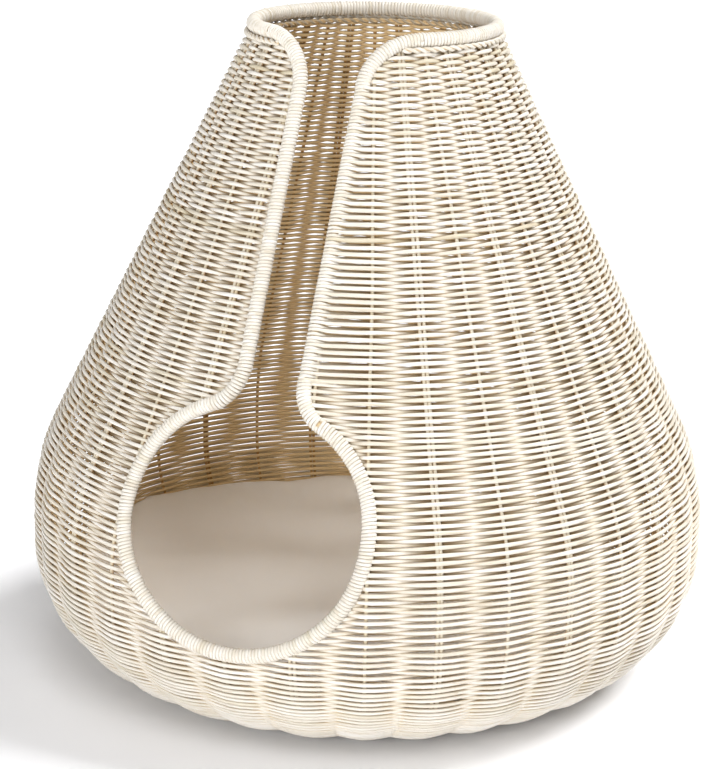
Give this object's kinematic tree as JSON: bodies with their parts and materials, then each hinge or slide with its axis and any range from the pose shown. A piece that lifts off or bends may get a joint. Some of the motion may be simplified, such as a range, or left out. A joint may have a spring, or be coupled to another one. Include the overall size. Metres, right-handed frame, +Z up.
{
  "type": "pet basket",
  "caption": "Woven rattan pet house, a cone on a round belly, with an open top, a slot down to a round entry and a loose cushion.",
  "frame": {"origin": "centre of the foot's flat underside, on the floor", "axes": "+Z up, -Y towards the entry and slot, +X to the right seen from the front"},
  "size_m": [0.56, 0.563, 0.5375],
  "materials": {
    "rattan_weave": "peeled rattan core, unvarnished, slightly waxy",
    "rattan_core": "peeled rattan core, unvarnished",
    "cover_cloth": "plain woven cotton",
    "filling": "polyester fibre fill",
    "zip_tape": "knitted tape with coil teeth",
    "zip_metal": "plated zinc"
  },
  "bodies": {
    "house": {"foot_border": "rattan_weave", "base_weave": "rattan_weave", "base_spokes": "rattan_core", "base_cross": "rattan_core", "stakes_single": "rattan_core", "stakes_double": "rattan_core", "weft_foot": "rattan_weave", "weft_bowl": "rattan_weave", "weft_belly": "rattan_weave", "weft_shoulder": "rattan_weave", "weft_cone_low": "rattan_weave", "weft_cone_mid": "rattan_weave", "weft_cone_high": "rattan_weave", "rim_core_ring": "rattan_core", "rim_core_left": "rattan_core", "rim_core_right": "rattan_core", "rim_core_entry": "rattan_core", "rim_wrap_ring": "rattan_weave", "rim_wrap_left": "rattan_weave", "rim_wrap_right": "rattan_weave", "rim_wrap_entry": "rattan_weave", "border_outer": "rattan_weave", "border_inner": "rattan_weave"},
    "cushion": {"cushion_filling": "filling", "cushion_top": "cover_cloth", "cushion_bottom": "cover_cloth", "zip_tape": "zip_tape"},
    "slider": {"zip_slider": "zip_metal"},
    "pull": {"zip_pull": "zip_metal"}
  },
  "joints": [
    {"name": "cushion_lift", "type": "slide", "parent": "house", "child": "cushion", "axis": [0, 0, 1], "range_m": [0, 0.11]},
    {"name": "zip_run", "type": "hinge", "parent": "cushion", "child": "slider", "pos_m": [0, 0, 0], "axis": [0, 0, 1], "range_deg": [-70, 0]},
    {"name": "pull_swing", "type": "hinge", "parent": "slider", "child": "pull", "pos_m": [0.17632, 0.17632, 0.06547], "axis": [-0.7071, 0.7071, 0], "range_deg": [0, 80]}
  ]
}
